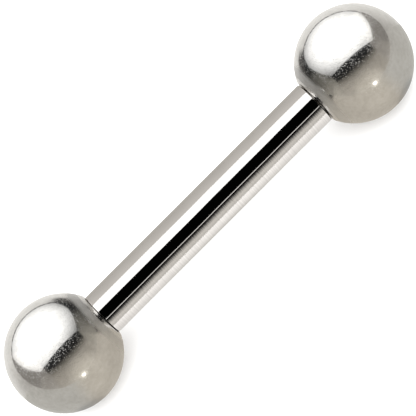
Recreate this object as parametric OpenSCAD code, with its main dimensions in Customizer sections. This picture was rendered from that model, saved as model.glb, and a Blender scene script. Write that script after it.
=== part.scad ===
// Straight piercing barbell: one turned shaft with a threaded stub at each end,
// and a ball screwed onto each stub. The axis is X and the origin is the shaft's middle.

/* [Shaft] */
// Diameter of the shaft
shaft_d = 1.6; // [1.5:0.1:1.7]
// Length of the shaft between its shoulders
shaft_l = 10; // [6:1:16]
// Bevel that breaks the edge of each shoulder
shoulder_bevel = 0.025; // [0.02:0.005:0.06]

/* [Thread] */
// Outer diameter of the thread on each stub
thread_d = 1.2; // [1.1:0.05:1.2]
// Distance from one crest of the thread to the next
thread_pitch = 0.25; // [0.2:0.05:0.3]
// Turns of thread on each stub
thread_turns = 7; // [5:1:7]
// Plain neck between a shoulder and its thread
neck_l = 0.3; // [0.2:0.05:0.3]
// Tapered tip that starts the ball on its thread
tip_l = 0.2; // [0.15:0.05:0.2]

/* [Balls] */
// Diameter of each ball
ball_d = 4; // [4:0.5:6]
// Diameter of the flat where a ball meets its shoulder
flat_d = 1.8; // [1.7:0.05:2]
// Width of the countersink at the mouth of each hole
countersink_d = 1.36; // [1.32:0.02:1.4]
// Gap between the left ball and its shoulder
left_gap = 0.01; // [0.01:0.01:0.05]
// Gap between the right ball and its shoulder, where it isn't fully tight
right_gap = 0.04; // [0.01:0.01:0.15]

/* [Hidden] */
$fn = 96;

shaft_r = shaft_d / 2;
ball_r = ball_d / 2;
flat_r = flat_d / 2;
shoulder_x = shaft_l / 2;

// Depth and crest of a metric thread, as shares of its pitch, and the slope of its flanks
depth_share = 0.6134;
crest_share = 0.125;
flank_angle = 30;
thread_r = thread_d / 2;
thread_depth = depth_share * thread_pitch;
root_r = thread_r - thread_depth;
flank_l = thread_depth * tan(flank_angle);
crest_l = crest_share * thread_pitch;
thread_l = thread_turns * thread_pitch;
stub_l = neck_l + thread_l + tip_l;
// How much thinner the end of the tip is than the thread's root, as a radius
tip_taper = 0.05;
tip_r = root_r - tip_taper;

// The hole clears the thread's crests all round, runs on past the stub and ends in the cone
// that a drill leaves
hole_clearance = 0.02;
hole_overrun = 0.35;
drill_half_angle = 59;
hole_r = thread_r + hole_clearance;
hole_l = stub_l + hole_overrun;
drill_point_l = hole_r / tan(drill_half_angle);
countersink_r = countersink_d / 2;

// Distance from a ball's centre to its flat
flat_x = sqrt(ball_r * ball_r - flat_r * flat_r);
// How far the round of a ball is set about the axis, so that the facets of its mesh lie
// under the barbell's weight and it doesn't stand on a corner between them
facet_turn = -2;
// Overshoot of a cutting shape past the face that it cuts
cut = 0.1;

// Outline of one turn of thread, as [place along the axis, radius]
function turn(start) = [
    [start, root_r],
    [start + flank_l, thread_r],
    [start + flank_l + crest_l, thread_r],
    [start + 2 * flank_l + crest_l, root_r],
];

// Outline of the shaft from its middle to the tip of its right stub
half_outline = concat(
    [
        [shoulder_x - shoulder_bevel, shaft_r],
        [shoulder_x, shaft_r - shoulder_bevel],
        [shoulder_x, root_r],
    ],
    [for (i = [0 : thread_turns - 1]) each turn(shoulder_x + neck_l + i * thread_pitch)],
    [
        [shoulder_x + neck_l + thread_l, root_r],
        [shoulder_x + stub_l, tip_r],
        [shoulder_x + stub_l, 0],
    ]
);

// The same outline for the left half, walked back from its tip to the middle
other_half = [for (i = [len(half_outline) - 1 : -1 : 0]) [-half_outline[i][0], half_outline[i][1]]];

// Turns an outline of [place along the axis, radius] about the X axis
module turned(outline) {
    rotate([0, 90, 0])
        rotate_extrude()
            polygon([for (p = outline) [p[1], p[0]]]);
}

module shaft() {
    color("silver") turned(concat(other_half, half_outline));
}

// A ball centred on the origin, with its flat and its hole towards -X
module ball() {
    difference() {
        rotate([facet_turn, 0, 0]) rotate([0, 90, 0]) sphere(ball_r);
        translate([-ball_r - cut, -ball_r, -ball_r])
            cube([ball_r + cut - flat_x, ball_d, ball_d]);
        turned([
            [-ball_r - cut, 0],
            [-ball_r - cut, countersink_r + ball_r + cut - flat_x],
            [-flat_x + countersink_r - hole_r, hole_r],
            [-flat_x + hole_l, hole_r],
            [-flat_x + hole_l + drill_point_l, 0],
        ]);
    }
}

module right_ball() {
    color("lightgray") translate([shoulder_x + right_gap + flat_x, 0, 0]) ball();
}

module left_ball() {
    color("lightgray") mirror([1, 0, 0]) translate([shoulder_x + left_gap + flat_x, 0, 0]) ball();
}

shaft();
left_ball();
right_ball();
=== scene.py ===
# %% [markdown]
# A straight piercing barbell is three pieces of polished steel: a plain round shaft with a thinner threaded
# stub at each end, and two balls with a tapped hole that screw onto the stubs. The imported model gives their
# real size and place. This script keeps that frame and gives each piece its final surface: rounded edges,
# a thread that really winds, and the finish of polished metal in a soft studio.

# %% The frame and its sizes
import math
import bmesh
import bpy
from mathutils import Matrix, Vector


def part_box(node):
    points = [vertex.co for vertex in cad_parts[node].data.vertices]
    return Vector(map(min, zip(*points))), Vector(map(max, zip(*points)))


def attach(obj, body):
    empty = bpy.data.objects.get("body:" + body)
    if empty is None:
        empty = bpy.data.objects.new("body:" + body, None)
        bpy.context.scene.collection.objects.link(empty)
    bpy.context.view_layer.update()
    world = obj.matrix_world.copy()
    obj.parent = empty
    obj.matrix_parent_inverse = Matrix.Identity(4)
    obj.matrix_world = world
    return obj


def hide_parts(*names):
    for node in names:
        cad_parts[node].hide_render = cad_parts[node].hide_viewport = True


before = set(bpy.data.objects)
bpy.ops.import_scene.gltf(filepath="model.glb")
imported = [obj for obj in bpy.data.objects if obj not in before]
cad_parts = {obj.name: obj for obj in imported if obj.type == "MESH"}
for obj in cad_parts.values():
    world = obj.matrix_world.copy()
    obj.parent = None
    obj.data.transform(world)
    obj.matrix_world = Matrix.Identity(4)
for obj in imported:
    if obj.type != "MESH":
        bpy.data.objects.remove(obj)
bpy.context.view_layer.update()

MM = 0.001
BALL_R = 2.0
SHAFT_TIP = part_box("shaft")[1].x / MM
LEFT_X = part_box("left_ball")[0].x / MM + BALL_R
RIGHT_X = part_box("right_ball")[1].x / MM - BALL_R
print(f"ball centres at {LEFT_X:.3f} and {RIGHT_X:.3f} mm, stub tips at {SHAFT_TIP:.3f} mm")

# %% [markdown]
# The camera comes first, because every reflection in polished metal depends on where it stands. The
# photograph looks down on the barbell at a steep angle, with the shaft running from the lower left to the
# upper right. The camera is set up square to the shaft and then rolled, so the shaft keeps its true length.
# A long lens from close by gives both balls the same size, with only a little of each one's side.

# %% Camera
ELEVATION = math.radians(57)
ROLL = math.radians(45)
CAMERA_DISTANCE = 85
VIEW_WIDTH = 13.82
AIM_ASIDE = -0.029
AIM_UP = 0.004


def make_camera():
    """Stands the camera square to the shaft, rolled so that the shaft rises to the right."""
    back = Vector((0, -math.cos(ELEVATION), math.sin(ELEVATION)))
    shaft_line = Vector((1, 0, 0))
    across = back.cross(shaft_line)
    right = math.cos(ROLL) * shaft_line - math.sin(ROLL) * across
    up = math.sin(ROLL) * shaft_line + math.cos(ROLL) * across
    middle = Vector(((LEFT_X + RIGHT_X) / 2, 0, 0))
    place = middle + AIM_ASIDE * right + AIM_UP * up + CAMERA_DISTANCE * back
    data = bpy.data.cameras.new("camera")
    data.lens = data.sensor_width * CAMERA_DISTANCE / VIEW_WIDTH
    data.clip_start = 0.01
    data.clip_end = 10
    camera = bpy.data.objects.new("camera", data)
    camera.matrix_world = Matrix.Translation(place * MM) @ Matrix((right, up, back)).transposed().to_4x4()
    bpy.context.scene.collection.objects.link(camera)
    bpy.context.scene.camera = camera
    return camera


camera = make_camera()
print(f"camera {CAMERA_DISTANCE} mm away with a {camera.data.lens:.0f} mm lens")

# %% [markdown]
# All three pieces are turned on a lathe, so each one starts as half an outline in the plane of the axis and
# is spun about X. Spinning keeps the rings exactly round and lets neighbouring sections share the same ring,
# so they weld into one closed skin. A sweep along a curve or a stack of cylinders would need more mending.

# %% Spinning an outline
STEPS = 144


def outline(bm, points):
    """Draws an outline of (x, radius) points in mm and returns its vertices and edges."""
    corners = [bm.verts.new((x * MM, 0, radius * MM)) for x, radius in points]
    return corners + [bm.edges.new(pair) for pair in zip(corners, corners[1:])]


def spin(bm, parts, climb=0):
    """Spins an outline one full turn about X, climbing that many mm along the axis as it goes."""
    bmesh.ops.spin(
        bm, geom=parts, cent=(0, 0, 0), axis=(1, 0, 0), dvec=(climb * MM / STEPS, 0, 0),
        angle=2 * math.pi, steps=STEPS, use_merge=climb == 0, use_duplicate=False,
    )


print(f"lathe set for {STEPS} steps a turn")

# %% [markdown]
# Where two spun sections meet, their ring is there twice, so it is welded. The edge of a shoulder or a flat
# isn't sharp on real steel: polishing rounds it, and the round catches a thin highlight. A Bevel modifier
# would round every edge over an angle, the thread's too, so one ring is picked by its place and radius and
# bevelled alone.

# %% Welding and rounding
WELD = 0.0002
ROUND_SEGMENTS = 4


def weld(bm):
    """Merges the rings where sections meet and drops what that leaves without area."""
    bmesh.ops.remove_doubles(bm, verts=bm.verts[:], dist=WELD * MM)
    bmesh.ops.dissolve_degenerate(bm, edges=bm.edges[:], dist=WELD * MM)


def radius_of(point):
    """Distance of a point from the axis, in mm."""
    return math.hypot(point.y, point.z) / MM


def round_ring(bm, x, radius, size):
    """Rounds the sharp ring at that place on the axis and radius, in mm."""
    def on_ring(vert):
        return abs(vert.co.x / MM - x) < WELD and abs(radius_of(vert.co) - radius) < WELD

    ring = [edge for edge in bm.edges if all(on_ring(vert) for vert in edge.verts)]
    bmesh.ops.bevel(
        bm, geom=ring, offset=size * MM, offset_type="OFFSET", segments=ROUND_SEGMENTS,
        profile=0.5, affect="EDGES", material=-1, clamp_overlap=True,
    )


print(f"points within {WELD} mm are welded, a round has {ROUND_SEGMENTS} segments")

# %% [markdown]
# A screw thread is one groove that winds round and climbs one pitch in each turn. Spinning a comb of teeth
# through a full turn, while it climbs one pitch, makes every tooth end where its neighbour began, so the
# turns weld into a single helix. Its ends are trimmed the way a real blank is: the bar was chamfered before
# the thread was cut, so the crests grow out of a plain ring and sink back into one.

# %% Thread helper
PITCH = 0.25
THREAD_DEPTH = 0.6134 * PITCH
FLANK = THREAD_DEPTH * math.tan(math.radians(30))
CREST = PITCH / 8
CHAMFER = 0.16


def comb(start, turns, low, high):
    """Outline of a row of teeth from radius low to radius high, as (x, radius) points in mm."""
    points = []
    for tooth in range(turns):
        x = start + tooth * PITCH
        points += [(x, low), (x + FLANK / 2, (low + high) / 2), (x + FLANK, high)]
        points += [(x + FLANK + CREST, high), (x + 1.5 * FLANK + CREST, (low + high) / 2)]
        points += [(x + 2 * FLANK + CREST, low)]
    return points


def cut_thread(bm, start, length, low, high):
    """Winds a right-hand thread between two plain rings of radius low, in mm.

    The comb has two teeth to spare, and what sticks out past either ring is pressed flat onto it.
    """
    turns = math.ceil(length / PITCH) + 2
    old = set(bm.verts)
    spin(bm, outline(bm, comb(start - PITCH, turns, low, high)), climb=PITCH)
    end = start + length
    for vert in set(bm.verts) - old:
        x = vert.co.x / MM
        blank = low + (high - low) * min(1, max(0, min(x - start, end - x)) / CHAMFER)
        radius = radius_of(vert.co)
        shrink = min(1, max(blank, low) / radius)
        vert.co = Vector((min(max(x, start), end) * MM, vert.co.y * shrink, vert.co.z * shrink))


print(f"thread pitch {PITCH} mm, flank {FLANK:.3f} mm, crest {CREST:.3f} mm")

# %% [markdown]
# The shaft is one bar. Its waist is a plain cylinder whose last tenth of a millimetre rolls off slightly,
# because polishing always takes a little more at an edge. Each shoulder drops to a short neck, then comes
# the thread and a tapered tip that starts the ball straight. Rings close to each shoulder hold the polished
# cylinder straight, so the long reflections don't bend along the whole shaft.

# %% Shaft mesh
SHAFT_R = 0.8
SHOULDER = 5.0
SHOULDER_ROUND = 0.03
ROLL_OFF = 0.006
# Rings from the middle to a shoulder, each with its share of the roll-off
WAIST_RINGS = [(0, 0), (3.2, 0), (4.55, 0), (4.8, 0), (4.92, 0.25), (SHOULDER, 1)]
THREAD_R = 0.6
ROOT_R = THREAD_R - THREAD_DEPTH
TIP_R = ROOT_R - 0.05
TIP_BEVEL = 0.03
NECK = 0.3
TIP_TAPER = 0.2
THREAD_END = SHAFT_TIP - TIP_TAPER


def waist_points(side):
    """Outline from the middle of the shaft to one shoulder; side is 1 or -1."""
    return [(side * x, SHAFT_R - ROLL_OFF * drop) for x, drop in WAIST_RINGS]


def stub(bm):
    """One threaded stub on the +X side, from the shoulder's edge to the tip."""
    edge = SHAFT_R - ROLL_OFF
    thread_start = SHOULDER + NECK
    spin(bm, outline(bm, [(SHOULDER, edge), (SHOULDER, ROOT_R), (thread_start, ROOT_R)]))
    cut_thread(bm, thread_start, THREAD_END - thread_start, ROOT_R, THREAD_R)
    spin(bm, outline(bm, [(THREAD_END, ROOT_R), (SHAFT_TIP - TIP_BEVEL, TIP_R),
                          (SHAFT_TIP, TIP_R - TIP_BEVEL), (SHAFT_TIP, 0)]))


def shaft_mesh():
    """The whole shaft: one stub, the same stub turned to the other end, and the waist between."""
    bm = bmesh.new()
    stub(bm)
    copied = bmesh.ops.duplicate(bm, geom=bm.verts[:] + bm.edges[:] + bm.faces[:])["geom"]
    turned = [part for part in copied if isinstance(part, bmesh.types.BMVert)]
    bmesh.ops.rotate(bm, verts=turned, cent=(0, 0, 0), matrix=Matrix.Rotation(math.pi, 3, "Z"))
    spin(bm, outline(bm, waist_points(-1)[::-1] + waist_points(1)[1:]))
    weld(bm)
    for side in (-1, 1):
        round_ring(bm, side * SHOULDER, SHAFT_R - ROLL_OFF, SHOULDER_ROUND)
    bmesh.ops.recalc_face_normals(bm, faces=bm.faces[:])
    return bm


turned_shaft = shaft_mesh()
print(f"shaft: {len(turned_shaft.faces)} faces, {turned_shaft.calc_volume() / MM**3:.2f} cubic mm")

# %% [markdown]
# The ball starts as a single point that is spun into an arc, from the far pole to the flat where it meets
# the shoulder. The outline then runs in across the flat and down the countersink, and the hole is tapped:
# its thread is cut outwards into the wall, so a stub slides through the plain bore without touching. The
# drill leaves a cone at the bottom. Both balls are the same mesh; the left one is turned round, not
# mirrored, so that its thread keeps the same hand.

# %% Ball mesh
FLAT_R = 0.9
FLAT_X = math.sqrt(BALL_R**2 - FLAT_R**2)
FLAT_ROUND = 0.045
COUNTERSINK_R = 0.68
BORE_R = 0.62
BORE_THREAD_DEPTH = 0.1
BORE_L = 2.6
TAPPED_L = 2.15
DRILL_POINT = BORE_R / math.tan(math.radians(59))
ARC_STEPS = 84


def ball_mesh(centre_x, turn):
    """A ball whose hole looks along -X, turned about Z and moved to its place on the axis."""
    bm = bmesh.new()
    pole = bm.verts.new((BALL_R * MM, 0, 0))
    sweep = math.pi - math.asin(FLAT_R / BALL_R)
    bmesh.ops.spin(bm, geom=[pole], cent=(0, 0, 0), axis=(0, -1, 0), dvec=(0, 0, 0), angle=sweep,
                   steps=ARC_STEPS, use_merge=False, use_duplicate=False)
    spin(bm, bm.verts[:] + bm.edges[:])
    mouth = -FLAT_X + COUNTERSINK_R - BORE_R
    spin(bm, outline(bm, [(-FLAT_X, FLAT_R), (-FLAT_X, COUNTERSINK_R), (mouth, BORE_R)]))
    cut_thread(bm, mouth, TAPPED_L, BORE_R, BORE_R + BORE_THREAD_DEPTH)
    bottom = -FLAT_X + BORE_L
    spin(bm, outline(bm, [(mouth + TAPPED_L, BORE_R), (bottom, BORE_R), (bottom + DRILL_POINT, 0)]))
    weld(bm)
    round_ring(bm, -FLAT_X, FLAT_R, FLAT_ROUND)
    bmesh.ops.recalc_face_normals(bm, faces=bm.faces[:])
    bmesh.ops.rotate(bm, verts=bm.verts[:], cent=(0, 0, 0), matrix=Matrix.Rotation(turn, 3, "Z"))
    bmesh.ops.translate(bm, verts=bm.verts[:], vec=(centre_x * MM, 0, 0))
    return bm


left_ball, right_ball = ball_mesh(LEFT_X, math.pi), ball_mesh(RIGHT_X, 0)
print(f"each ball: {len(right_ball.faces)} faces, {right_ball.calc_volume() / MM**3:.2f} cubic mm")

# %% [markdown]
# Up close, polished steel still has marks: cloudy tone, fine grain, and lines from the lathe. Each kind is a
# shader node group, built once and placed in every material that shows it. These helpers make a group's
# sockets and the few nodes that all groups use. A position comes in metres and is worked on in millimetres,
# so a size in a material is the real size of the mark.

# %% Node helpers
FLOAT = "NodeSocketFloat"
VECTOR = "NodeSocketVector"


def new_group(name, inputs, outputs):
    """An empty shader group with its sockets, and its input and output nodes."""
    group = bpy.data.node_groups.new(name, "ShaderNodeTree")
    for label, kind in inputs:
        group.interface.new_socket(label, in_out="INPUT", socket_type=kind)
    for label, kind in outputs:
        group.interface.new_socket(label, in_out="OUTPUT", socket_type=kind)
    return group, group.nodes.new("NodeGroupInput"), group.nodes.new("NodeGroupOutput")


def feed(tree, sockets, values):
    """Gives each socket its value, which is a socket to link or a number."""
    for socket, value in zip(sockets, values):
        if isinstance(value, bpy.types.NodeSocket):
            tree.links.new(value, socket)
        else:
            socket.default_value = value


def math_node(tree, operation, *values):
    """A Math node with those inputs; returns its output."""
    node = tree.nodes.new("ShaderNodeMath")
    node.operation = operation
    feed(tree, node.inputs, values)
    return node.outputs[0]


def vector_node(tree, operation, *values):
    """A Vector Math node with those inputs; returns the node."""
    node = tree.nodes.new("ShaderNodeVectorMath")
    node.operation = operation
    feed(tree, node.inputs, values)
    return node


def in_mm(tree, position):
    """Scales a position in metres to millimetres."""
    node = vector_node(tree, "SCALE", position)
    node.inputs["Scale"].default_value = 1 / MM
    return node.outputs[0]


def split(tree, position):
    """The x, y and z of a position."""
    node = tree.nodes.new("ShaderNodeSeparateXYZ")
    tree.links.new(position, node.inputs[0])
    return node.outputs


def noise(tree, dimensions, where, scale, detail):
    """A Noise texture read at a vector, or for one dimension at a number."""
    node = tree.nodes.new("ShaderNodeTexNoise")
    node.noise_dimensions = dimensions
    node.inputs["Detail"].default_value = detail
    place = node.inputs["W" if dimensions == "1D" else "Vector"]
    feed(tree, (place, node.inputs["Scale"]), (where, scale))
    return node.outputs["Fac"]


print(f"marks are sized in mm, {1 / MM:.0f} to a metre")

# %% [markdown]
# Three of the marks are plain noise. Mottling is cloudy tone, where the metal took its polish unevenly.
# Grain is what is left of the abrasive. Turning lines run round the bar, because the tool moved along while
# the bar turned, so their noise is read along one distance alone. Noise has no seam and stays sharp from
# close by, which a painted image round a bar wouldn't.

# %% Mottle, grain and turning lines
def mottle_group():
    """Soft clouds of that size in mm, from 0 to 1 with the middle pushed apart."""
    group, given, out = new_group("mottle", [("Position", VECTOR), ("Size", FLOAT)], [("Mask", FLOAT)])
    place = in_mm(group, given.outputs["Position"])
    clouds = noise(group, "3D", place, math_node(group, "DIVIDE", 1.0, given.outputs["Size"]), 4.0)
    spread = group.nodes.new("ShaderNodeMapRange")
    group.links.new(clouds, spread.inputs["Value"])
    spread.inputs["From Min"].default_value = 0.36
    spread.inputs["From Max"].default_value = 0.64
    group.links.new(spread.outputs[0], out.inputs["Mask"])
    return group


def grain_group():
    """Fine even grain of that size in mm, as a height from 0 to 1."""
    group, given, out = new_group("grain", [("Position", VECTOR), ("Size", FLOAT)], [("Height", FLOAT)])
    place = in_mm(group, given.outputs["Position"])
    height = noise(group, "3D", place, math_node(group, "DIVIDE", 1.0, given.outputs["Size"]), 1.5)
    group.links.new(height, out.inputs["Height"])
    return group


def turning_group():
    """Lathe lines of that spacing in mm, along whatever distance is given in metres."""
    group, given, out = new_group("turning_lines", [("Distance", FLOAT), ("Spacing", FLOAT)],
                                  [("Height", FLOAT)])
    along = math_node(group, "MULTIPLY", given.outputs["Distance"], 1 / MM)
    rate = math_node(group, "DIVIDE", 1.0, given.outputs["Spacing"])
    group.links.new(noise(group, "1D", along, rate, 2.0), out.inputs["Height"])
    return group


MOTTLE, GRAIN, TURNING = mottle_group(), grain_group(), turning_group()
print("marks:", ", ".join(group.name for group in (MOTTLE, GRAIN, TURNING)))

# %% [markdown]
# A polished bar is never quite true. Its skin leans a little, now up and now down, so a band of light sways
# along it, and where it was brushed it leans in fine streaks. A bump made of lines round the bar would lean
# the skin along the bar, but a band sways when the skin leans across it. So this group turns the normal
# itself, round the bar's own axis.

# %% Tilt
SLOW_SPACING = 2.4
FINE_SPACING = 0.028


def swing_of(group, along, spacing, size):
    """How far the skin leans at each place along the bar, either way from upright."""
    wave = math_node(group, "SUBTRACT", noise(group, "1D", along, 1 / spacing, 1.0), 0.5)
    return math_node(group, "MULTIPLY", wave, size)


def tilt_group():
    """A normal that leans round the X axis: Slow in long waves, Fine in narrow marks where Brushed is 1."""
    inputs = [("Position", VECTOR), ("Slow", FLOAT), ("Fine", FLOAT), ("Brushed", FLOAT)]
    group, given, out = new_group("tilt", inputs, [("Normal", VECTOR)])
    given = given.outputs
    along = math_node(group, "MULTIPLY", split(group, given["Position"])["X"], 1 / MM)
    slow = swing_of(group, along, SLOW_SPACING, given["Slow"])
    fine = swing_of(group, along, FINE_SPACING, given["Fine"])
    swing = math_node(group, "MULTIPLY_ADD", fine, given["Brushed"], slow)
    normal = group.nodes.new("ShaderNodeNewGeometry").outputs["Normal"]
    around = vector_node(group, "CROSS_PRODUCT", (1, 0, 0), normal).outputs[0]
    lean = vector_node(group, "SCALE", around)
    group.links.new(swing, lean.inputs["Scale"])
    leant = vector_node(group, "ADD", normal, lean.outputs[0])
    unit = vector_node(group, "NORMALIZE", leant.outputs[0])
    group.links.new(unit.outputs[0], out.inputs["Normal"])
    return group


TILT = tilt_group()
print(f"{TILT.name}: waves {SLOW_SPACING} mm long and streaks {FINE_SPACING} mm apart")

# %% [markdown]
# Steel reflects nearly everything, so its look is the studio's look bent by tiny changes in the surface.
# Base colour carries the warm grey of stainless steel, roughness blurs the reflection, and bump nudges it.
# These helpers place a group, stack heights into one chain of bumps, and turn a mask or a length into a
# colour or a number.

# %% Material helpers
def place_group(tree, group, **values):
    """Puts a group into a material; each value is a socket to link or a number."""
    node = tree.nodes.new("ShaderNodeGroup")
    node.node_tree = group
    feed(tree, [node.inputs[label] for label in values], values.values())
    return node.outputs[0]


def bump(tree, height, depth, below=None):
    """A Bump of that depth in mm, over the normal of the bump below it."""
    node = tree.nodes.new("ShaderNodeBump")
    node.inputs["Strength"].default_value = 1.0
    node.inputs["Distance"].default_value = depth * MM
    tree.links.new(height, node.inputs["Height"])
    if below is not None:
        tree.links.new(below, node.inputs["Normal"])
    return node.outputs["Normal"]


def ramp(tree, mask, low, high):
    """Spreads a mask from 0 to 1 over two numbers."""
    node = tree.nodes.new("ShaderNodeMapRange")
    tree.links.new(mask, node.inputs["Value"])
    node.inputs["To Min"].default_value = low
    node.inputs["To Max"].default_value = high
    return node.outputs[0]


def rise(tree, value, start, end):
    """Climbs smoothly from 0 to 1 while a length in metres goes from start to end, in mm."""
    node = tree.nodes.new("ShaderNodeMapRange")
    node.interpolation_type = "SMOOTHSTEP"
    node.inputs["From Min"].default_value = start * MM
    node.inputs["From Max"].default_value = end * MM
    tree.links.new(value, node.inputs["Value"])
    return node.outputs[0]


def blend_colours(tree, mask, first, second):
    """Mixes two colours by a mask; each is a colour or the result of another blend."""
    node = tree.nodes.new("ShaderNodeMix")
    node.data_type = "RGBA"
    colours = [end if isinstance(end, bpy.types.NodeSocket) else (*end, 1) for end in (first, second)]
    feed(tree, [node.inputs[label] for label in ("Factor", "A", "B")], [mask] + colours)
    return node.outputs["Result"]


def new_steel(name):
    """A metallic material, its shader, and the position that its patterns read."""
    material = bpy.data.materials.new(name)
    material.use_nodes = True
    tree = material.node_tree
    shader = tree.nodes["Principled BSDF"]
    shader.inputs["Metallic"].default_value = 1.0
    position = tree.nodes.new("ShaderNodeTexCoord").outputs["Object"]
    return material, tree, shader, position


print("groups to place:", ", ".join(group.name for group in bpy.data.node_groups))

# %% [markdown]
# The waist has the brightest polish on the barbell and shows the studio as straight bands from end to end.
# A flawless mirror would look drawn, so its tone clouds a little, fine lines from the lathe cross its low
# front side, and the bands sway. In the last hundredths of a millimetre before a ball the steel's colour is
# painted dark, as painted shade for the seam. The light alone could darken that seam, but it is thinner
# than a pixel, so the edge carries the shade.

# %% Shaft steel
SHAFT_LIGHT = (0.825, 0.802, 0.775)
SHAFT_DARK = (0.735, 0.712, 0.685)
SHAFT_POLISH = (0.035, 0.055)
SHAFT_CLOUDS = 0.9
LATHE_SPACING = 0.06
LATHE_CONTRAST = 1.6
# How far in front of the axis, in mm, the lathe lines fade in and the painted seam shade grows wider
BRUSHED_FROM = (0.61, 0.65)
WIDER_FROM = (0.27, 0.4)
SEAM_WIDER = 0.022
# Where along the axis the painted seam shade fades in, and the dark colour it paints
SEAM_EDGE = (4.985, 5.0)
SEAM_SHADE = (0.012, 0.011, 0.01)
SEAM_ROUGHER = 0.5
WAVE_DEPTH = 0.0001


def shaft_steel():
    """Mirror polish, with faint lathe lines on the low front side and painted shade at each seam."""
    material, tree, shader, position = new_steel("shaft_steel")
    xyz = split(tree, position)
    forward = math_node(tree, "MULTIPLY", xyz["Y"], -1)
    brushed = rise(tree, forward, *BRUSHED_FROM)
    clouds = place_group(tree, MOTTLE, Position=position, Size=SHAFT_CLOUDS)
    lines = place_group(tree, TURNING, Distance=xyz["X"], Spacing=LATHE_SPACING)
    streaks = math_node(tree, "MULTIPLY", math_node(tree, "SUBTRACT", lines, 0.5), brushed)
    cloudy = math_node(tree, "MULTIPLY_ADD", clouds, 0.3, 0.35)
    mask = math_node(tree, "MULTIPLY_ADD", streaks, LATHE_CONTRAST, cloudy)
    steel = blend_colours(tree, mask, SHAFT_DARK, SHAFT_LIGHT)
    wider = rise(tree, forward, *WIDER_FROM)
    along = math_node(tree, "MULTIPLY_ADD", wider, SEAM_WIDER * MM, math_node(tree, "ABSOLUTE", xyz["X"]))
    # painted shade: the base colour goes dark at each seam, a little wider on the front side
    edge = rise(tree, along, *SEAM_EDGE)
    tree.links.new(blend_colours(tree, edge, steel, SEAM_SHADE), shader.inputs["Base Color"])
    polish = ramp(tree, clouds, *SHAFT_POLISH)
    tree.links.new(math_node(tree, "MULTIPLY_ADD", edge, SEAM_ROUGHER, polish), shader.inputs["Roughness"])
    waves = place_group(tree, GRAIN, Position=position, Size=0.35)
    normal = place_group(tree, TILT, Position=position, Slow=0.024, Fine=0.15, Brushed=brushed)
    tree.links.new(bump(tree, waves, WAVE_DEPTH, normal), shader.inputs["Normal"])
    return material


SHAFT_STEEL = shaft_steel()
print(f"{SHAFT_STEEL.name}: {len(SHAFT_STEEL.node_tree.nodes)} nodes")

# %% [markdown]
# A ball is tumbled with many others, which leaves fine round pits of every depth. They show where the ball
# mirrors something dark, as specks that catch the light. Cut into the mesh they would take millions of
# faces, so they are bowls in a height: each cell of a Voronoi pattern may hold one, as deep as the cell's
# random colour says.

# %% Pits
BOWL_RADIUS = 0.45


def pits_group():
    """Round pits of many depths: Size is their spacing in mm, Share how many of the places hold one."""
    inputs = [("Position", VECTOR), ("Size", FLOAT), ("Share", FLOAT)]
    group, given, out = new_group("pits", inputs, [("Height", FLOAT)])
    cells = group.nodes.new("ShaderNodeTexVoronoi")
    group.links.new(in_mm(group, given.outputs["Position"]), cells.inputs["Vector"])
    group.links.new(math_node(group, "DIVIDE", 1.0, given.outputs["Size"]), cells.inputs["Scale"])
    bowl = group.nodes.new("ShaderNodeMapRange")
    bowl.interpolation_type = "SMOOTHSTEP"
    bowl.inputs["From Max"].default_value = BOWL_RADIUS
    group.links.new(cells.outputs["Distance"], bowl.inputs["Value"])
    chance = group.nodes.new("ShaderNodeMapRange")
    group.links.new(split(group, cells.outputs["Color"])[0], chance.inputs["Value"])
    group.links.new(given.outputs["Share"], chance.inputs["From Max"])
    chance.inputs["To Min"].default_value = 1.0
    chance.inputs["To Max"].default_value = 0.0
    hollow = math_node(group, "SUBTRACT", 1.0, bowl.outputs[0])
    depth = math_node(group, "MULTIPLY", chance.outputs[0], hollow)
    group.links.new(math_node(group, "SUBTRACT", 1.0, depth), out.inputs["Height"])
    return group


PITS = pits_group()
print(f"{PITS.name}: a bowl's radius is {BOWL_RADIUS} of its cell")

# %% [markdown]
# The balls have a softer polish than the shaft. Their tone is cloudy at two sizes, a faint haze lies over
# the mirror, and a ring beside the seam stays dull, because a wheel can't reach in there. The haze is a
# rough coat over smooth metal. More roughness in the metal itself would be simpler, but it would blur the
# crisp outline of the softbox.

# %% Ball steel
BALL_LIGHT = (0.73, 0.72, 0.70)
BALL_DARK = (0.62, 0.61, 0.585)
BALL_POLISH = (0.03, 0.055)
BALL_CLOUDS = 0.5
BALL_SPECKS = 0.14
CLOUD_SHARE = 0.55
# Where the dull ring begins and where it ends, as distances along the axis in mm
DULL_FROM = (5.09, 5.13)
DULL_TO = (5.24, 5.46)
DULL_ROUGHER = 0.5
PIT_SPACING = 0.037
PIT_DEPTH = 0.004
GRAIN_DEPTH = 0.0003


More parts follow.
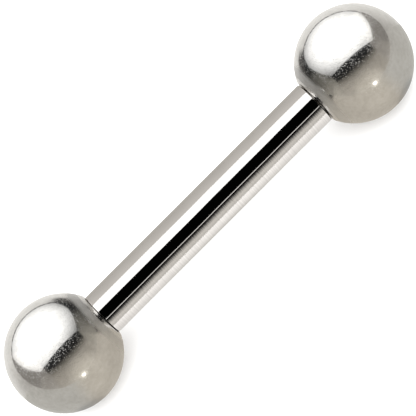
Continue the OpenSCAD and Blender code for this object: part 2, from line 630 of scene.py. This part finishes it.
def ball_steel():
    """Tumbled polish: cloudy tone, fine pits, a thin haze, and a duller ring beside the seam."""
    material, tree, shader, position = new_steel("ball_steel")
    clouds = place_group(tree, MOTTLE, Position=position, Size=BALL_CLOUDS)
    specks = place_group(tree, MOTTLE, Position=position, Size=BALL_SPECKS)
    specks = math_node(tree, "MULTIPLY", specks, 1 - CLOUD_SHARE)
    mask = math_node(tree, "MULTIPLY_ADD", clouds, CLOUD_SHARE, specks)
    tree.links.new(blend_colours(tree, mask, BALL_DARK, BALL_LIGHT), shader.inputs["Base Color"])
    along = math_node(tree, "ABSOLUTE", split(tree, position)["X"])
    dull = math_node(tree, "SUBTRACT", 1.0, rise(tree, along, *DULL_TO))
    dull = math_node(tree, "MULTIPLY", dull, rise(tree, along, *DULL_FROM))
    polish = ramp(tree, clouds, *BALL_POLISH)
    tree.links.new(math_node(tree, "MULTIPLY_ADD", dull, DULL_ROUGHER, polish), shader.inputs["Roughness"])
    shader.inputs["Coat Weight"].default_value = 0.8
    shader.inputs["Coat Roughness"].default_value = 0.4
    shader.inputs["Coat IOR"].default_value = 1.6
    grain = place_group(tree, GRAIN, Position=position, Size=0.12)
    pits = place_group(tree, PITS, Position=position, Size=PIT_SPACING, Share=1.0)
    tree.links.new(bump(tree, pits, PIT_DEPTH, bump(tree, grain, GRAIN_DEPTH)), shader.inputs["Normal"])
    return material


BALL_STEEL = ball_steel()
print(f"{BALL_STEEL.name}: {len(BALL_STEEL.node_tree.nodes)} nodes")

# %% [markdown]
# Threads, holes and faces are cut and never polished, so they are darker, rougher and lined by the tool. A
# facing cut leaves rings and a turning cut leaves lines round the bar, so one set of lines is read along the
# radius and one along the axis. Two materials would need a border where a face meets a bore. One with both
# sets needs none, because each set shows only where its own distance changes.

# %% Machined steel
MACHINED_LIGHT = (0.66, 0.63, 0.59)
MACHINED_DARK = (0.48, 0.455, 0.42)
MACHINED_POLISH = (0.2, 0.3)
FACED_DEPTH = 0.0012
TURNED_DEPTH = 0.0006


def machined_steel():
    """Thread, bore and faces: cut but not polished, with tool lines round the axis."""
    material, tree, shader, position = new_steel("machined_steel")
    mask = place_group(tree, MOTTLE, Position=position, Size=0.12)
    tree.links.new(blend_colours(tree, mask, MACHINED_DARK, MACHINED_LIGHT), shader.inputs["Base Color"])
    tree.links.new(ramp(tree, mask, *MACHINED_POLISH), shader.inputs["Roughness"])
    xyz = split(tree, position)
    across = math_node(tree, "POWER", xyz["Y"], 2.0)
    across = math_node(tree, "ADD", across, math_node(tree, "POWER", xyz["Z"], 2.0))
    radius = math_node(tree, "SQRT", across)
    faced = place_group(tree, TURNING, Distance=radius, Spacing=0.025)
    turned = place_group(tree, TURNING, Distance=xyz["X"], Spacing=0.03)
    tree.links.new(bump(tree, turned, TURNED_DEPTH, bump(tree, faced, FACED_DEPTH)), shader.inputs["Normal"])
    return material


MACHINED_STEEL = machined_steel()
print(f"{MACHINED_STEEL.name}: {len(MACHINED_STEEL.node_tree.nodes)} nodes")

# %% [markdown]
# A bmesh becomes a piece in one place: it is written to a mesh, its faces are given their materials, edges
# over an angle stay crisp while all else is smooth, and the piece is tied to the body that it moves with.

# %% Piece helper
CRISP = math.radians(38)


def make_piece(name, bm, materials, choose, body, node):
    """Turns a bmesh into a piece; choose gives each face its material's place in the list."""
    for face in bm.faces:
        face.material_index = choose(face)
        face.smooth = True
    open_edges = sum(1 for edge in bm.edges if len(edge.link_faces) != 2)
    mesh = bpy.data.meshes.new(name)
    bm.to_mesh(mesh)
    bm.free()
    for material in materials:
        mesh.materials.append(material)
    mesh.set_sharp_from_angle(angle=CRISP)
    piece = bpy.data.objects.new(name, mesh)
    bpy.context.scene.collection.objects.link(piece)
    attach(piece, body)
    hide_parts(node)
    print(f"{name}: {len(mesh.polygons)} faces, {open_edges} open edges")
    return piece


print(f"edges over {math.degrees(CRISP):.0f} degrees stay crisp")

# %% [markdown]
# Each piece takes the place of its solid and rides on the same body, so it moves as the solid does. A face
# takes its finish by where it lies: on the waist or a sphere's skin it is polished, and past a shoulder or
# inside a ball it is machined. An object for each finish would leave open edges between them, and this way
# each piece stays one closed skin.

# %% The three pieces
POLISHED = 0
MACHINED = 1
SKIN_SHARE = 0.985


def shaft_face(face):
    """The waist and its rounded shoulders are polished; the rest is machined."""
    centre = face.calc_center_median()
    return POLISHED if abs(centre.x) / MM < SHOULDER - WELD else MACHINED


def ball_face(centre_x):
    """A test for a ball's faces: all that lies inside the sphere's skin is machined."""
    def choose(face):
        centre = face.calc_center_median() - Vector((centre_x * MM, 0, 0))
        return POLISHED if centre.length / MM > BALL_R * SKIN_SHARE else MACHINED

    return choose


shaft = make_piece("turned_shaft", turned_shaft, [SHAFT_STEEL, MACHINED_STEEL], shaft_face,
                   "shaft", "shaft")
balls = []
for side, ball_bm, centre_x in (("left", left_ball, LEFT_X), ("right", right_ball, RIGHT_X)):
    balls.append(make_piece(f"polished_{side}_ball", ball_bm, [BALL_STEEL, MACHINED_STEEL],
                            ball_face(centre_x), f"{side}_ball", f"{side}_ball"))

# %% [markdown]
# The floor is a plain pale table. The photograph shows the barbell on pure white, so the table is lit a
# little past white: the camera keeps only the deepest of the soft shadow under each ball. Metal that
# mirrored so bright a table would lose its dark tones, so it sees a dark one, and panels just over the
# table give back the light that the real steel shows.

# %% Floor
FLOOR_SIZE = 2.0
FLOOR_WHITE = (0.9, 0.9, 0.9)
FLOOR_SEEN = (0.026, 0.0245, 0.0229)


def make_floor():
    """A large square table under the balls."""
    bm = bmesh.new()
    bmesh.ops.create_grid(bm, x_segments=1, y_segments=1, size=FLOOR_SIZE)
    bmesh.ops.translate(bm, verts=bm.verts[:], vec=(0, 0, -BALL_R * MM))
    mesh = bpy.data.meshes.new("floor")
    bm.to_mesh(mesh)
    bm.free()
    floor = bpy.data.objects.new("floor", mesh)
    bpy.context.scene.collection.objects.link(floor)
    material = bpy.data.materials.new("white_table")
    material.use_nodes = True
    tree = material.node_tree
    shader = tree.nodes["Principled BSDF"]
    shader.inputs["Roughness"].default_value = 0.9
    shader.inputs["Specular IOR Level"].default_value = 0.0
    seen = blend_colours(tree, tree.nodes.new("ShaderNodeLightPath").outputs["Is Camera Ray"],
                         FLOOR_SEEN, FLOOR_WHITE)
    tree.links.new(seen, shader.inputs["Base Color"])
    mesh.materials.append(material)
    return floor


floor = make_floor()
print(f"table {2 * FLOOR_SIZE:.0f} m wide, {BALL_R} mm under the axis")

# %% [markdown]
# Polished metal shows lamps as shapes, so the studio is a set of soft panels round the barbell. A direction
# is given as two angles seen from the piece: how far it leans out along the barbell, and how far it has
# climbed over it, where 0 is the front horizon, 90 straight up and 180 the back horizon. An edge of a panel
# runs between two such directions and may be sharp or may fade, as cloth stretched over a frame does.

# %% Directions and edges
REACH = 0.5


def towards(lean, climb):
    """The direction at those two angles."""
    lean, climb = math.radians(lean), math.radians(climb)
    flat = math.cos(lean)
    return Vector((math.sin(lean), -flat * math.cos(climb), flat * math.sin(climb)))


def over(climb, reach=REACH):
    """The point at that distance over the barbell's middle."""
    return towards(0, climb) * reach


def round_edge(lean, climb, radius, fade):
    """An edge that runs round a direction, that many degrees from it, with light inside."""
    return towards(lean, climb), radius, fade


def line_edge(start, end, fade, lit=(0, 90)):
    """A straight edge through two directions, with light on the side where the lit direction lies."""
    pole = towards(*start).cross(towards(*end)).normalized()
    if pole.dot(towards(*lit)) < 0:
        pole = -pole
    return pole, 90, fade


def level_edge(climb, fade, lit):
    """An edge that runs level along the barbell, with light towards the lit climb."""
    return line_edge((-40, climb), (40, climb), fade, (0, lit))


print(f"panels over the shaft hang {REACH} m away")

# %% [markdown]
# A mirror shows the outline of each panel, and the softbox over a ball has a curved one. An area lamp is
# only a rectangle or an ellipse, so its light is masked instead. Every edge is a cone of directions seen
# from the piece, with a soft rim, and a straight edge is a cone that has opened to half of all directions.

# %% Panel edges
def edge_group():
    """Light within a cone of directions from a centre; Dark and Full are cosines of its two rims."""
    inputs = [("Centre", VECTOR), ("Pole", VECTOR), ("Dark", FLOAT), ("Full", FLOAT)]
    group, given, out = new_group("panel_edge", inputs, [("Mask", FLOAT)])
    given = given.outputs
    place = group.nodes.new("ShaderNodeNewGeometry").outputs["Position"]
    away = vector_node(group, "SUBTRACT", place, given["Centre"])
    unit = vector_node(group, "NORMALIZE", away.outputs[0])
    inside = vector_node(group, "DOT_PRODUCT", unit.outputs[0], given["Pole"])
    spread = group.nodes.new("ShaderNodeMapRange")
    spread.interpolation_type = "SMOOTHSTEP"
    group.links.new(inside.outputs["Value"], spread.inputs["Value"])
    group.links.new(given["Dark"], spread.inputs["From Min"])
    group.links.new(given["Full"], spread.inputs["From Max"])
    group.links.new(spread.outputs[0], out.inputs["Mask"])
    return group


EDGE = edge_group()


def edges_mask(tree, centre, side, edges):
    """Light where it is inside every edge; side -1 mirrors them for the left end."""
    shine = None
    for pole, radius, fade in edges:
        rims = [math.cos(math.radians(angle)) for angle in (radius + fade, radius - fade)]
        mirrored = Vector((side * pole.x, pole.y, pole.z))
        mask = place_group(tree, EDGE, Centre=centre, Pole=mirrored, Dark=rims[0], Full=rims[1])
        shine = mask if shine is None else math_node(tree, "MULTIPLY", shine, mask)
    return shine


print(f"{EDGE.name}: {len(EDGE.nodes)} nodes")

# %% [markdown]
# A panel is an area lamp. A glowing plane would look the same in the metal, but every piece would mirror
# it, while a lamp can be linked to one collection. A lamp's energy is in watts for its whole area, so it is
# set to pi times the area, and the colour is then exactly how bright the metal sees the panel. A flag is a
# card that keeps light off one part of a panel.

# %% Panels
def group_of(name, *members):
    """A collection that only says which pieces a lamp lights."""
    collection = bpy.data.collections.new(name)
    for member in members:
        collection.objects.link(member)
    return collection


def area_light(name, width, height, glow):
    """The light of a flat soft panel; glow is how bright the metal sees it."""
    data = bpy.data.lights.new(name, "AREA")
    data.shape = "RECTANGLE"
    data.size = width
    data.size_y = height
    data.energy = math.pi * data.size * data.size_y
    data.color = glow
    data.use_nodes = True
    return data


def hang(name, data, place, pieces):
    """Hangs a light at its place, unseen by the camera, where only those pieces mirror it."""
    lamp = bpy.data.objects.new(name, data)
    lamp.matrix_world = place
    lamp.visible_camera = False
    lamp.light_linking.receiver_collection = pieces
    bpy.context.scene.collection.objects.link(lamp)


def panel(name, near, far, half_width, glow, pieces, centre=(0, 0, 0), side=1, lean=0, edges=(), flag=()):
    """A soft panel between two points seen from a centre, which shines inside all its edges.

    A flag shades what lies inside all the flag's edges.
    """
    data = area_light(name, 2 * half_width, (far - near).length, glow)
    tree = data.node_tree
    centre = Vector(centre)
    shine = edges_mask(tree, centre, side, edges)
    if flag:
        lit = math_node(tree, "SUBTRACT", 1.0, edges_mask(tree, centre, side, flag))
        shine = math_node(tree, "MULTIPLY", shine, lit)
    if shine is not None:
        tree.links.new(shine, tree.nodes["Emission"].inputs["Strength"])
    middle = (near + far) / 2 + Vector((side * lean, 0, 0))
    up = (far - near).normalized()
    across = Vector((1, 0, 0))
    out = across.cross(up)
    if out.dot(middle) < 0:
        across, out = -across, -out
    turn = Matrix((across, up, out)).transposed().to_4x4()
    hang(name, data, Matrix.Translation(middle + centre) @ turn, pieces)


FOR_SHAFT = group_of("for_shaft", shaft)

# %% [markdown]
# Each straight band on the shaft is one panel that it mirrors: a bright strip overhead, a grey card behind,
# a thin line and a card in front, and the table below. Between the strip and the line nothing hangs, and
# that is the black band along the middle. Lamps that lie in one plane don't add up in a mirror, because a
# ray meets only one of them, so each panel on the table has a thin layer of its own.

# %% Lamps for the shaft
FILM = 0.03
BAND_HALF = 0.9
BAND_TABLE_HALF = 0.3
TABLE_TURN = 0.8


def on_table(y, layer=1):
    """The point over the table at that place in mm in front of the barbell (-) or behind it (+)."""
    return Vector((0, y, layer * FILM - BALL_R)) * MM


panel("shaft_strip", over(80.3), over(123.5), BAND_HALF, (1.6, 1.6, 1.6), FOR_SHAFT)
panel("shaft_back_card", over(123), over(180.2), BAND_HALF, (0.56, 0.543, 0.52), FOR_SHAFT)
panel("shaft_back_fill", over(123, 0.52), over(179, 0.52), BAND_HALF, (0.1, 0.097, 0.093), FOR_SHAFT,
      edges=[level_edge(150, 25, 124)])
panel("shaft_line", over(26.8), over(30.3), BAND_HALF, (0.8, 0.79, 0.765), FOR_SHAFT)
panel("shaft_front_card", over(0), over(24), BAND_HALF, (0.6, 0.58, 0.548), FOR_SHAFT,
      edges=[level_edge(9, 13, 0)])
panel("shaft_table_front", on_table(-300), on_table(TABLE_TURN), BAND_TABLE_HALF,
      (0.558, 0.542, 0.514), FOR_SHAFT)
panel("shaft_table_back", on_table(TABLE_TURN), on_table(300), BAND_TABLE_HALF,
      (0.47, 0.456, 0.426), FOR_SHAFT)
panel("shaft_table_far", on_table(-300, 3), on_table(-9, 3), BAND_TABLE_HALF, (0.07, 0.068, 0.065), FOR_SHAFT)
panel("shaft_table_glow", on_table(-5.5, 2), on_table(TABLE_TURN, 2), 0.0062, (0.56, 0.565, 0.59), FOR_SHAFT,
      edges=[level_edge(-52, 34, -10)])
print(f"lamps so far: {len(bpy.data.lights)}")

# %% [markdown]
# A ball mirrors the whole room at once. Brightest is the softbox above, with a curved outline, and the cards
# in front fall off in tone towards the sides. One picture of a room, wrapped round the object, could do all
# of this, but panels can each be named, moved and given an edge. Cards that overlap stand at distances of
# their own, so that they add up.

# %% Softbox and front cards of a ball
BALL_REACH = 0.17
SOFT_CLIMB = 120
SOFT_FOOT = towards(0, SOFT_CLIMB) * BALL_REACH
SOFT_RISE = towards(0, SOFT_CLIMB - 90) * -BALL_REACH
SOFT_HALF = 0.45
CARD_HALF = 1.1
INNER = (-90, 0)
OUTER = (90, 0)


def card(distance):
    """Foot and top of an upright card at that distance in mm in front of a ball."""
    return Vector((0, -distance, FILM - BALL_R)) * MM, Vector((0, -distance, 2 * distance)) * MM


# Distance, glow and edges of each card
FRONT_CARDS = {
    "low": (300, (0.115, 0.106, 0.091), [level_edge(20, 35, 0)]),
    "foot": (350, (0.05, 0.046, 0.04), [level_edge(50, 1.5, 0)]),
    "inner": (330, (0.06, 0.055, 0.048), [level_edge(30, 35, 0), round_edge(*INNER, 40, 12)]),
    "card": (310, (0.33, 0.306, 0.268),
             [level_edge(42.5, 10, 0), round_edge(*OUTER, 144, 2.5), round_edge(*INNER, 134, 8)]),
    "glow": (320, (0.25, 0.235, 0.205), [round_edge(-8, 5, 20, 18), level_edge(36, 26, 0)]),
}


def ball_front(tag, at):
    """The softbox over a ball and the cards in front of it."""
    panel(f"{tag}_softbox", SOFT_FOOT - 1.5 * SOFT_RISE, SOFT_FOOT + 1.72 * SOFT_RISE, SOFT_HALF,
          (1.8, 1.8, 1.8), **at, lean=0.05,
          edges=[line_edge((-53, 75), (53, 64.8), 0.6), line_edge((-52, 75), (-49, 160), 1),
                 line_edge((-49, 160), (-28, 178), 1.5), line_edge((53, 65), (46.5, 178), 2),
                 line_edge((-40, 178.6), (40, 178.6), 0.6), round_edge(8, 122, 54, 30)])
    for name, (distance, glow, edges) in FRONT_CARDS.items():
        panel(f"{tag}_front_{name}", *card(distance), CARD_HALF, glow, **at, edges=edges)


print(f"softbox {BALL_REACH} m from a ball, nearest at a climb of {SOFT_CLIMB} degrees")

# %% [markdown]
# The lower half of a ball mirrors the table: warm in front, cooler on the outer side, and darker far behind
# beside the shaft. Those tones could be painted on the table, but then the camera would see them too. Thin
# panels just over it, one for each tone, are there for one ball alone.

# %% Table under a ball
TABLE_HALF = 0.4
FAR_SHADE = [round_edge(0, 90, 99.5, 2.5), round_edge(*INNER, 65, 6)]


# Where each panel starts and ends in mm, its layer, glow and edges, and the flag that shades it
TABLE_PANELS = {
    "front": (-300, 1, 1, (0.36, 0.333, 0.289), [round_edge(*OUTER, 176, 14)], ()),
    "fill": (-300, 1, 4, (0.178, 0.164, 0.143), [round_edge(*OUTER, 176, 14)], [round_edge(16, -54, 5, 14)]),
    "cool": (-300, 1, 2, (0.0, 0.03, 0.062), [round_edge(*OUTER, 74, 14)], ()),
    "warm": (-300, 1, 3, (0.09, 0.085, 0.075), [round_edge(-10, -5, 22, 18)], ()),
    "back": (1, 75, 1, (0.458, 0.444, 0.419), [round_edge(*OUTER, 156, 16)], FAR_SHADE),
    "far": (1, 75, 2, (0.46, 0.46, 0.455), [round_edge(8, 215, 50, 34)], FAR_SHADE),
}


def ball_table(tag, at):
    """The table as a ball mirrors it."""
    for name, (start, end, layer, glow, edges, flag) in TABLE_PANELS.items():
        panel(f"{tag}_table_{name}", on_table(start, layer), on_table(end, layer), TABLE_HALF, glow, **at,
              edges=edges, flag=flag)


print(f"table layers {FILM} mm apart")

# %% [markdown]
# A small round highlight sits on the front of each ball: a bare bulb close by, with a glow round it. A
# point lamp would show as a dot with a hard rim, so this is a small panel with a round, fading edge, and a
# larger one makes the glow. A faint card low on the horizon lightens the line where table and cards meet.

# %% Horizon and highlight of a ball
BULB_Y = -0.03
GLOW_Y = -0.025
BULB_FOOT = -0.0019


def ball_highlight(tag, at):
    """The horizon card, the bulb and the glow round it."""
    panel(f"{tag}_horizon", *card(340), CARD_HALF, (0.05, 0.05, 0.05), **at, edges=[level_edge(6, 8, 0)])
    panel(f"{tag}_spot", Vector((0, BULB_Y, BULB_FOOT)), Vector((0, BULB_Y, 0.004)), 0.004,
          (2.4, 2.32, 2.13), **at, edges=[round_edge(-1, 1.2, 2.4, 2.4)])
    panel(f"{tag}_spot_glow", Vector((0, GLOW_Y, BULB_FOOT)), Vector((0, GLOW_Y, 0.006)), 0.006,
          (0.3, 0.29, 0.265), **at, edges=[round_edge(-1, 1.5, 5, 5)])


print(f"bulb {-BULB_Y / MM:.0f} mm in front of a ball, its glow {-GLOW_Y / MM:.0f} mm")

# %% [markdown]
# Towards its rim a ball mirrors what stands at either end of the barbell. A card in front would have to be
# endless to reach there, so tall panels stand across the barbell's line, past the ball on the outer side
# and over the shaft on the inner one. Each side has a front and a back part, with edges that fade
# differently.

# %% Sides of a ball
SIDE_SIZE = 1.2
OUTER_GLOW = (0.28, 0.264, 0.244)
INNER_GLOW = (0.28, 0.266, 0.234)


def side_panel(name, glow, pieces, centre, side, pole, edges, distance):
    """A tall panel across the barbell's line, on the side of a ball where the pole lies."""
    way = side if pole == OUTER else -side
    data = area_light(name, SIDE_SIZE, SIDE_SIZE, glow)
    tree = data.node_tree
    place = Vector(centre)
    tree.links.new(edges_mask(tree, place, side, edges), tree.nodes["Emission"].inputs["Strength"])
    turn = Matrix.Rotation(way * math.pi / 2, 4, "Y")
    hang(name, data, Matrix.Translation(place + Vector((way * distance, 0, 0))) @ turn, pieces)


# Side, distance in m, glow and edges of each panel
SIDE_PANELS = {
    "outer_side": (OUTER, 0.3, OUTER_GLOW, [round_edge(*OUTER, 46, 8), level_edge(45, 5, 0)]),
    "outer_back": (OUTER, 0.31, OUTER_GLOW, [round_edge(*OUTER, 46, 2.5), level_edge(45, 5, 180)]),
    "inner_side": (INNER, 0.3, INNER_GLOW, [round_edge(*INNER, 36, 2.5), level_edge(73, 5, 0)]),
    "inner_back": (INNER, 0.31, INNER_GLOW,
                   [round_edge(*INNER, 31, 7), level_edge(73, 5, 180), level_edge(130, 60, 60)]),
    "inner_low": (INNER, 0.32, (0.085, 0.077, 0.067), [round_edge(*INNER, 31, 8), level_edge(30, 28, 0)]),
}


def ball_sides(tag, at):
    """The panels at either end of the barbell, as a ball mirrors them."""
    for name, (pole, distance, glow, edges) in SIDE_PANELS.items():
        side_panel(f"{tag}_{name}", glow, **at, pole=pole, edges=edges, distance=distance)


print(f"side panels {SIDE_SIZE} m square")

# %% [markdown]
# In the photograph the two balls are mirror images of each other. So the studio is described once, with
# lean angles that count outwards from the middle of the barbell, and is then hung twice: as it is for the
# right ball, and mirrored for the left.

# %% Lamps for both balls
for ball, tag, centre_x, side in zip(balls, ("left", "right"), (LEFT_X, RIGHT_X), (-1, 1)):
    at = {"pieces": group_of(f"for_{tag}_ball", ball), "centre": (centre_x * MM, 0, 0), "side": side}
    ball_front(tag, at)
    ball_table(tag, at)
    ball_highlight(tag, at)
    ball_sides(tag, at)
print(f"lamps so far: {len(bpy.data.lights)}")

# %% [markdown]
# The table has a wide sun of its own, which leaves only a soft shadow under each ball and doesn't touch the
# metal. The world is white to the camera, gives the table some even light, and is nearly black to the
# metal, so that the panels alone show in it. One world for all would be simpler, but white all round
# leaves polished steel no dark tones.

# %% Floor light and world
SUN_ENERGY = 6.5
SUN_ANGLE = 110
METAL_SEES = 0.001
TABLE_SEES = 0.5
CAMERA_SEES = 1.0


def make_sun():
    """A wide soft sun that lights only the table."""
    data = bpy.data.lights.new("table_sun", "SUN")
    data.energy = SUN_ENERGY
    data.angle = math.radians(SUN_ANGLE)
    lamp = bpy.data.objects.new("table_sun", data)
    lamp.light_linking.receiver_collection = group_of("for_floor", floor)
    bpy.context.scene.collection.objects.link(lamp)


def make_world():
    """A world that metal, table and camera each see at a brightness of its own."""
    world = bpy.data.worlds.new("studio")
    world.use_nodes = True
    tree = world.node_tree
    path = tree.nodes.new("ShaderNodeLightPath")
    below = tree.nodes["Background"]
    below.inputs["Color"].default_value = (METAL_SEES, METAL_SEES, METAL_SEES, 1)
    for seen_by, value in (("Is Diffuse Ray", TABLE_SEES), ("Is Camera Ray", CAMERA_SEES)):
        light = tree.nodes.new("ShaderNodeBackground")
        light.inputs["Color"].default_value = (value, value, value, 1)
        mix = tree.nodes.new("ShaderNodeMixShader")
        tree.links.new(path.outputs[seen_by], mix.inputs[0])
        tree.links.new(below.outputs[0], mix.inputs[1])
        tree.links.new(light.outputs[0], mix.inputs[2])
        below = mix
    tree.links.new(below.outputs[0], tree.nodes["World Output"].inputs["Surface"])
    bpy.context.scene.world = world


make_sun()
make_world()
bpy.context.scene.view_settings.view_transform = "Standard"
print(f"sun {SUN_ANGLE} degrees wide, {len(bpy.data.lights)} lamps in all")
